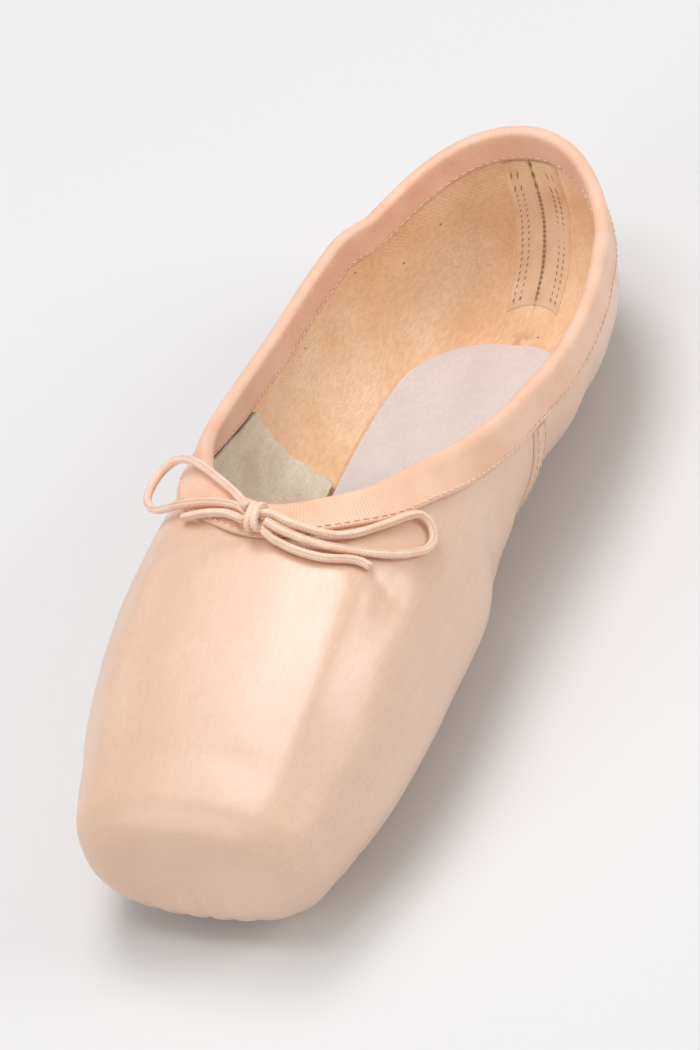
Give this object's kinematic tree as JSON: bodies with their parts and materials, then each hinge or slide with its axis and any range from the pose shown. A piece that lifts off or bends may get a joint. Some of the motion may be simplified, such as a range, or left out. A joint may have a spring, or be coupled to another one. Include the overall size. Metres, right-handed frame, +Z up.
{
  "type": "pointe shoe",
  "caption": "Satin pointe shoe with a flat platform, stiff toe box, one-piece leather outsole with a narrow waist, ribbon binding and a drawstring bow; stands on its sole.",
  "frame": {"origin": "on the floor, below the middle of the shoe's length and width", "axes": "+Y from the toe to the heel, +Z up, +X towards the wearer's right; the toe's platform faces -Y"},
  "size_m": [0.082, 0.2431, 0.0728],
  "materials": {
    "satin": "smooth peach-pink satin",
    "ribbon": "ribbed peach binding ribbon",
    "cord": "soft elastic drawstring cord",
    "canvas": "stiffened canvas",
    "suede": "matt pale suede cloth",
    "leather": "buffed tan leather, light cut edge"
  },
  "bodies": {
    "root": {"upper": "satin", "outsole": "leather", "insole": "suede", "toe_box": "canvas", "binding": "ribbon", "back_stay": "satin", "side_seam_right": "satin", "side_seam_left": "satin", "heel_tape": "canvas", "bow_knot": "cord", "bow_loop_right": "cord", "bow_loop_left": "cord", "drawstring_end_right": "cord", "drawstring_end_left": "cord"}
  },
  "joints": []
}
